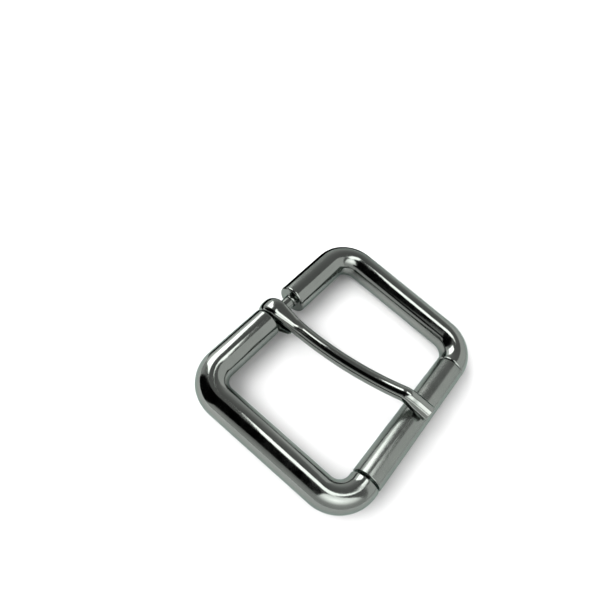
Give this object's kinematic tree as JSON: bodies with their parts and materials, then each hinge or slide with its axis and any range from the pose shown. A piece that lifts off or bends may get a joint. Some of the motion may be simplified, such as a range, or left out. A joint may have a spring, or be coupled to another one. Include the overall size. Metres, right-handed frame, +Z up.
{
  "type": "belt buckle",
  "caption": "Roller belt buckle: rounded rectangular wire-section frame, rolled sleeve on the front bar and a swinging tongue looped on the rear bar.",
  "frame": {"origin": "on the surface the buckle lies on, straight below the middle of the frame", "axes": "+X along the two bars, across the strap; +Y from the front bar with the roller to the rear bar with the tongue's loop; +Z up, out of the face that shows when worn"},
  "size_m": [0.053, 0.0435, 0.0107],
  "materials": {
    "frame_plating": "polished gunmetal nickel plate",
    "roller_plating": "polished gunmetal nickel plate, slightly satin",
    "tongue_plating": "polished gunmetal nickel plate"
  },
  "bodies": {
    "frame": {"buckle_frame": "frame_plating"},
    "roller": {"roller": "roller_plating"},
    "tongue": {"tongue": "tongue_plating"}
  },
  "joints": [
    {"name": "tongue_swing", "type": "hinge", "parent": "frame", "child": "tongue", "pos_m": [-0.00147, 0.01825, 0.0037], "axis": [-1, 0, 0], "range_deg": [0, 340]},
    {"name": "roller_spin", "type": "hinge", "parent": "frame", "child": "roller", "pos_m": [0.00022, -0.01825, 0.0037], "axis": [1, 0, 0], "continuous": true}
  ]
}
